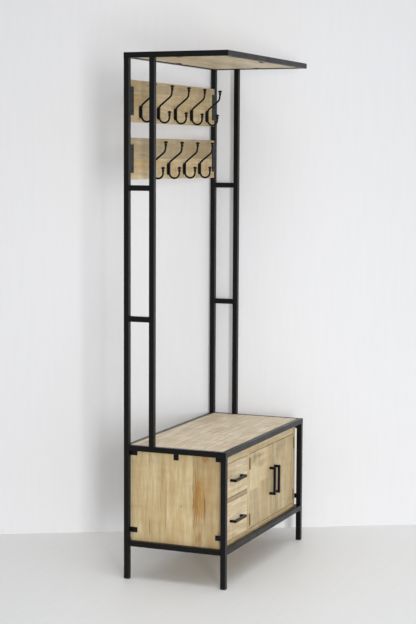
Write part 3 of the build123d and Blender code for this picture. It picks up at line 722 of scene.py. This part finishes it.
@dataclass(frozen=True)
class Screws:
    """Pan-head screws with a cross recess, in place of the plain ones."""

    head: float = 3.0                # millimetres, radius
    height: float = 1.8
    shank: float = 1.6
    length: float = 12.5             # from under the head to the tip
    point: float = 2.0               # the tapered end
    slot_long: float = 3.4
    slot_wide: float = 0.8
    slot_deep: float = 1.0
    steps: int = 20

    def one(self) -> bpy.types.Mesh:
        """One screw with its head on the plane Z = 0, pointing down."""
        shape = bmesh.new()
        outline = [(0, self.height), (self.head * 0.45, self.height * 0.96),
                   (self.head * 0.8, self.height * 0.72), (self.head * 0.97, self.height * 0.4),
                   (self.head, self.height * 0.12), (self.head * 0.97, 0), (self.shank, 0),
                   (self.shank, self.point - self.length), (0, -self.length)]
        verts = [shape.verts.new((x * MM, 0, z * MM)) for x, z in outline]
        edges = [shape.edges.new(pair) for pair in zip(verts, verts[1:])]
        bmesh.ops.spin(shape, geom=verts + edges, cent=(0, 0, 0), axis=(0, 0, 1), angle=2 * math.pi,
                       steps=self.steps, use_merge=True)
        bmesh.ops.remove_doubles(shape, verts=shape.verts, dist=0.001 * MM)
        bmesh.ops.recalc_face_normals(shape, faces=shape.faces)
        solid = self.loose("screw_blank", shape)
        recess = bmesh.new()
        top = Matrix.Translation((0, 0, self.height * MM))
        for wide, long in ((self.slot_wide, self.slot_long), (self.slot_long, self.slot_wide)):
            size = Matrix.Diagonal((wide * MM, long * MM, 2 * self.slot_deep * MM, 1.0))
            bmesh.ops.create_cube(recess, size=1.0, matrix=top @ size)
        cutter = self.loose("screw_recess", recess)
        cut = solid.modifiers.new("recess", "BOOLEAN")
        cut.operation = "DIFFERENCE"
        cut.solver = "EXACT"
        cut.use_self = True
        cut.object = cutter
        ready = solid.evaluated_get(bpy.context.evaluated_depsgraph_get())
        mesh = bpy.data.meshes.new_from_object(ready)
        for spare in (solid, cutter):
            bpy.data.objects.remove(spare)
        return mesh

    def loose(self, name: str, shape: bmesh.types.BMesh) -> bpy.types.Object:
        """A working object that isn't kept."""
        mesh = bpy.data.meshes.new(name)
        shape.to_mesh(mesh)
        shape.free()
        thing = bpy.data.objects.new(name, mesh)
        bpy.context.scene.collection.objects.link(thing)
        return thing

    def placed(self, points: list[Vector], chance: random.Random) -> Matrix:
        """The place and direction of one CAD screw.

        Args:
            points: The screw's corners.
            chance: Turns the recess by any angle.

        Returns:
            The matrix that brings the new screw there.
        """
        low, high = box_of(points)
        size = high - low
        axis = max(Axis, key=lambda item: size[item.value])
        middle = (low + high) / 2
        # Only the head's points lie well outside the shank, and they tell which end is up.
        offsets = [p - middle for p in points]
        head = [offset[axis.value] for offset in offsets
                if (offset - axis.unit() * offset[axis.value]).length > 1.2 * self.shank * MM]
        sign = 1 if sum(head) > 0 else -1
        out = axis.unit() * sign
        seat = Vector(middle)
        end = high if sign > 0 else low
        seat[axis.value] = end[axis.value] - sign * self.height * MM
        turn = Vector((0, 0, 1)).rotation_difference(out).to_matrix().to_4x4()
        return Matrix.Translation(seat) @ turn @ Matrix.Rotation(chance.uniform(0, math.pi / 2), 4, "Z")

    def build(self) -> None:
        """Put a screw with a cross recess in the place of each plain one."""
        chance = random.Random("screws")
        master = self.one()
        shape = bmesh.new()
        for points in solids_of("wood_screws"):
            copy = master.copy()
            copy.transform(self.placed(points, chance))
            shape.from_mesh(copy)
            bpy.data.meshes.remove(copy)
        bpy.data.meshes.remove(master)
        piece = finished("cross_recess_screws", shape, SCREW_STEEL, "frame")
        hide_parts("wood_screws")


@dataclass(frozen=True)
class Cabinet:
    """The mango wood cabinet under the bench: carcass, two drawers and two doors."""

    def side_boards(self) -> list[PlankBoard]:
        """The two sides, of four upright planks each."""
        left_marks = (
            Mark(MarkKind.STREAK, (-380, -76, 300), (30, 18, 118), "#82500f", 0.95),
            Mark(MarkKind.STREAK, (-380, -90, 300), (30, 32, 100), "#a8782a", 0.8),
            Mark(MarkKind.STREAK, (-380, -112, 275), (30, 5, 70), "#7d5220", 0.8),
            Mark(MarkKind.STREAK, (-380, -86, 166), (30, 22, 34), "#9a6a30", 0.8),
            Mark(MarkKind.STREAK, (-380, -160, 172), (30, 14, 34), "#84602e", 0.8),
            Mark(MarkKind.KNOT, (-380, -112, 458), (30, 20, 30), "#9c6b3c", 0.8),
            Mark(MarkKind.KNOT, (-380, -20, 272), (12, 4, 5), "#7d6a48", 0.7),
            Mark(MarkKind.CRACK, (-380, 100.5, 192), (30, 1.6, 44), "#3a2c1b", 0.95),
        )
        right_marks = (
            Mark(MarkKind.STREAK, (380, 60, 330), (30, 14, 90), "#8f6228", 0.6),
            Mark(MarkKind.KNOT, (380, -70, 230), (30, 12, 15), "#8b5f35", 0.8),
        )
        left = MangoWood("mango_left_side", grain=Axis.Z, ripple=Axis.Y, umber="#8a6b3a", marks=left_marks)
        right = MangoWood("mango_right_side", grain=Axis.Z, ripple=Axis.Y, marks=right_marks)
        return [
            PlankBoard("cabinet_left_side", "frame", left, Axis.Y,
                       (Plank(0.31, 0.34), Plank(0.29, -0.06), Plank(0.2, 0.09), Plank(0.2, 0.02))),
            PlankBoard("cabinet_right_side", "frame", right, Axis.Y,
                       (Plank(0.26, 0.1), Plank(0.24, -0.1), Plank(0.27, 0.2), Plank(0.23, 0.0))),
        ]

    def seat_board(self) -> PlankBoard:
        """The bench top, of five planks that run from left to right."""
        finish = MangoWood("mango_bench_top", grain=Axis.X, ripple=Axis.Y, cream="#ecdfc6", tan="#dac8a6",
                           stained=0.12)
        planks = (Plank(0.19, 0.05), Plank(0.22, -0.1), Plank(0.18, 0.1, 0.6, 0.0), Plank(0.2, -0.05),
                  Plank(0.21, 0.08))
        return PlankBoard("bench_top", "frame", finish, Axis.Y, planks)

    def drawer_boards(self) -> list[PlankBoard]:
        """The two drawer fronts, with level grain."""
        pale = {"grain": Axis.X, "ripple": Axis.Z, "cream": "#ebdcba", "tan": "#d2ba8a", "stained": 0.12}
        upper = MangoWood("mango_upper_front", **pale)
        lower = MangoWood("mango_lower_front", **pale)
        return [
            PlankBoard("upper_drawer_front", "upper_drawer", upper, Axis.Z,
                       (Plank(0.55, -0.05), Plank(0.45, 0.1))),
            PlankBoard("lower_drawer_front", "lower_drawer", lower, Axis.Z,
                       (Plank(0.4, 0.0), Plank(0.6, -0.1))),
        ]

    def door_boards(self) -> list[PlankBoard]:
        """The two doors, of upright planks, one of them butted from two lengths."""
        left_marks = (
            Mark(MarkKind.STREAK, (-62, -168, 398), (75, 30, 28), "#7d6538", 0.75),
            Mark(MarkKind.STREAK, (8, -168, 372), (66, 30, 16), "#8d7240", 0.6),
            Mark(MarkKind.STREAK, (-20, -168, 402), (80, 30, 9), "#6e5830", 0.6),
        )
        right_marks = (
            Mark(MarkKind.STREAK, (200, -168, 395), (50, 30, 40), "#8a6b40", 0.6),
            Mark(MarkKind.CRACK, (255, -168, 185), (8, 30, 3), "#41321f", 0.9),
        )
        left = MangoWood("mango_left_door", grain=Axis.Z, ripple=Axis.X, marks=left_marks)
        right = MangoWood("mango_right_door", grain=Axis.Z, ripple=Axis.X, marks=right_marks)
        return [
            PlankBoard("left_door_panel", "left_door", left, Axis.X,
                       (Plank(0.42, 0.2, 0.5, -0.3), Plank(0.38, 0.16, 0.56, -0.3), Plank(0.2, 0.12))),
            PlankBoard("right_door_panel", "right_door", right, Axis.X,
                       (Plank(0.3, 0.25), Plank(0.36, 0.12), Plank(0.34, 0.2))),
        ]

    def build(self) -> None:
        """Build the show boards and dress everything else."""
        for board in (*self.side_boards(), self.seat_board(), *self.drawer_boards(), *self.door_boards()):
            board.build()
        dress(MangoWood("mango_level", grain=Axis.X, ripple=Axis.Z), "cabinet_apron", "cabinet_bottom",
              "lower_drawer_back", "upper_drawer_back")
        # The rail between the drawers gets a darker copy of the mango: painted shade of its narrow recess
        # between the drawer fronts.
        dress(MangoWood("mango_drawer_rail_painted_shade", grain=Axis.X, ripple=Axis.Z, cream="#b29c76", tan="#957f5b"),
              "drawer_rail")
        dress(MangoWood("mango_upright", grain=Axis.Z, ripple=Axis.Y), "cabinet_divider")
        dress(MangoWood("mango_deep", grain=Axis.Y, ripple=Axis.Z), "lower_drawer_sides",
              "upper_drawer_sides")
        dress(Plywood("poplar_ply_back"), "cabinet_back")
        dress(Plywood("poplar_ply_bottom", through=Axis.Z), "lower_drawer_bottom", "upper_drawer_bottom")
        dress(SLIDE_STEEL, "slide_channels", "lower_drawer_runners", "upper_drawer_runners")
        dress(HINGE_STEEL, "hinge_frame_leaves", "hinge_pins")
        for side in ("left", "right"):
            dress(HINGE_STEEL, f"{side}_door_hinge_leaves", f"{side}_door_strike")
            dress(HANDLE_STEEL, f"{side}_door_handle")
        dress(HANDLE_STEEL, "lower_drawer_handle", "upper_drawer_handle")
        dress(CATCH_PLASTIC, "door_catches")


@dataclass(frozen=True)
class HookWall:
    """The two hook boards with their nine cast hooks, and the shelf over them."""

    def build(self) -> None:
        """Build the boards and dress the hooks."""
        upper = MangoWood("mango_upper_hook_board", grain=Axis.X, ripple=Axis.Z, tan="#bfa36c", stained=0.4)
        lower = MangoWood("mango_lower_hook_board", grain=Axis.X, ripple=Axis.Z, tan="#bfa36c", stained=0.4)
        shelf = MangoWood("mango_shelf", grain=Axis.X, ripple=Axis.Y, cream="#efe2c6", tan="#dcc79b",
                          stained=0.15)
        boards = (
            PlankBoard("upper_hook_board", "frame", upper, Axis.Z, (Plank(0.72, 0.1), Plank(0.28, 0.3))),
            PlankBoard("lower_hook_board", "frame", lower, Axis.Z, (Plank(0.5, 0.0), Plank(0.5, 0.4))),
            PlankBoard("shelf_board", "frame", shelf, Axis.Y,
                       (Plank(0.2, 0.05), Plank(0.21, -0.1), Plank(0.19, 0.1), Plank(0.22, 0.0),
                        Plank(0.18, -0.05))),
        )
        for board in boards:
            board.build()
        dress(HOOK_IRON, "upper_hooks", "lower_hooks")


# --- Studio --------------------------------------------------------------
@dataclass(frozen=True)
class Studio:
    """A pale floor, a pale wall that stands just behind the object, soft light and the camera."""

    camera_place: tuple[float, float, float] = (-5.30642, -2.16669, 1.47454)
    heading: float = 67.404          # degrees from +Y towards +X
    tilt: float = -5.5335            # degrees above the horizon
    roll: float = 0.2789             # degrees
    lens: float = 90.63              # millimetres, on a 36 mm frame
    wall_facing: tuple[float, float] = (0.870, 0.493)
    wall_gap: float = 0.455          # metres from the origin
    light_heading: float = 57.0      # degrees from +Y towards +X, the way the light goes
    window_away: float = 6.5         # metres
    window_size: tuple[float, float] = (0.8, 2.3)    # metres, wide and high
    window_spread: float = 78.0      # degrees
    window_aim: float = 0.55         # metres above the floor
    window_power: float = 31.0       # watts
    overhead_place: tuple[float, float, float] = (-1.3, -1.0, 4.2)
    overhead_aim: tuple[float, float, float] = (-0.4, -0.4, 0.0)
    overhead_size: float = 2.2       # metres
    overhead_spread: float = 62.0    # degrees
    overhead_power: float = 8.5      # watts
    fill_place: tuple[float, float, float] = (2.4, -3.4, 0.8)
    fill_aim: tuple[float, float, float] = (0.0, 0.0, 0.7)
    fill_size: tuple[float, float] = (2.4, 1.2)      # metres
    fill_power: float = 26.0         # watts
    air_glow: float = 0.6            # light from all round
    backdrop: float = 0.72           # what the camera sees past the floor and the wall
    floor_reach: float = 2.6         # metres, half the floor
    wall_reach: float = 6.0          # metres, half the wall

    def plane(self, name: str, size: float, matrix: Matrix, finish: StudioPaint) -> None:
        """Add a flat piece of the studio.

        Args:
            name: Its name.
            size: Half its width.
            matrix: Its place; its painted side is up.
            finish: What it is painted with.
        """
        shape = bmesh.new()
        bmesh.ops.create_grid(shape, x_segments=4, y_segments=4, size=size, matrix=matrix)
        mesh = bpy.data.meshes.new(name)
        shape.to_mesh(mesh)
        shape.free()
        mesh.materials.append(finish.material())
        thing = bpy.data.objects.new(name, mesh)
        thing.visible_shadow = not finish.one_sided
        bpy.context.scene.collection.objects.link(thing)

    def light(self, name: str, place: Vector, target: Vector, size: tuple[float, float], power: float,
              spread: float = 180.0) -> None:
        """Add a soft light.

        Args:
            name: Its name.
            place: Where it stands.
            target: What it points at.
            size: Its width and height.
            power: Its power in watts.
            spread: How wide it shines, in degrees.
        """
        lamp = bpy.data.lights.new(name, "AREA")
        lamp.shape = "RECTANGLE"
        lamp.energy = power
        lamp.size, lamp.size_y = size
        lamp.spread = math.radians(spread)
        thing = bpy.data.objects.new(name, lamp)
        thing.location = place
        thing.rotation_euler = (target - place).to_track_quat("-Z", "Y").to_euler()
        bpy.context.scene.collection.objects.link(thing)

    def camera(self) -> None:
        """Set up the camera."""
        heading, tilt, roll = (math.radians(value) for value in (self.heading, self.tilt, self.roll))
        ahead = Vector((math.sin(heading) * math.cos(tilt), math.cos(heading) * math.cos(tilt),
                        math.sin(tilt)))
        level = Vector((math.cos(heading), -math.sin(heading), 0.0))
        upright = level.cross(ahead)
        right = level * math.cos(roll) + upright * math.sin(roll)
        up = upright * math.cos(roll) - level * math.sin(roll)
        turn = Matrix((right, up, -ahead)).transposed().to_4x4()
        lens = bpy.data.cameras.new("camera")
        lens.lens = self.lens
        lens.sensor_width = 36.0
        thing = bpy.data.objects.new("camera", lens)
        thing.matrix_world = Matrix.Translation(self.camera_place) @ turn
        bpy.context.scene.collection.objects.link(thing)
        bpy.context.scene.camera = thing

    def build(self) -> None:
        """Build the whole studio."""
        floor_paint = StudioPaint("floor_paint", "#e9e9e8", "#e2e2e1", Axis.X, roughness=0.5)
        self.plane("floor", self.floor_reach, Matrix.Identity(4), floor_paint)
        away = Vector((*self.wall_facing, 0.0)).normalized()
        turn = Vector((0, 0, 1)).rotation_difference(-away).to_matrix().to_4x4()
        wall_paint = StudioPaint("wall_paint", "#f0f0f1", "#ececee", one_sided=True)
        self.plane("wall", self.wall_reach, Matrix.Translation(away * self.wall_gap) @ turn, wall_paint)
        heading = math.radians(self.light_heading)
        window = -Vector((math.sin(heading), math.cos(heading), 0.0)) * self.window_away
        window.z = self.window_size[1] / 2
        self.light("window", window, Vector((0, 0, self.window_aim)), self.window_size, self.window_power,
                   self.window_spread)
        square = (self.overhead_size, self.overhead_size)
        self.light("overhead", Vector(self.overhead_place), Vector(self.overhead_aim), square,
                   self.overhead_power, self.overhead_spread)
        self.light("fill", Vector(self.fill_place), Vector(self.fill_aim), self.fill_size, self.fill_power)
        world = bpy.data.worlds.new("studio_air")
        world.use_nodes = True
        tree = world.node_tree
        tree.nodes.clear()
        seen = add(tree, "ShaderNodeLightPath").outputs["Is Camera Ray"]
        strength = between(tree, seen, self.air_glow, self.backdrop)
        air = add(tree, "ShaderNodeBackground", {"Color": linear("#f6f8fb"), "Strength": strength})
        add(tree, "ShaderNodeOutputWorld", {"Surface": air.outputs[0]})
        bpy.context.scene.world = world
        bpy.context.scene.view_settings.view_transform = "Standard"
        self.camera()


def main() -> None:
    """Build the sub-assemblies in order, then the studio."""
    logging.basicConfig(level=logging.INFO, format="%(name)s: %(message)s")
    for part in (SteelFrame(), Cabinet(), HookWall(), Screws(), Studio()):
        log.info("%s", type(part).__name__)
        part.build()


if __name__ == "__main__":
    main()
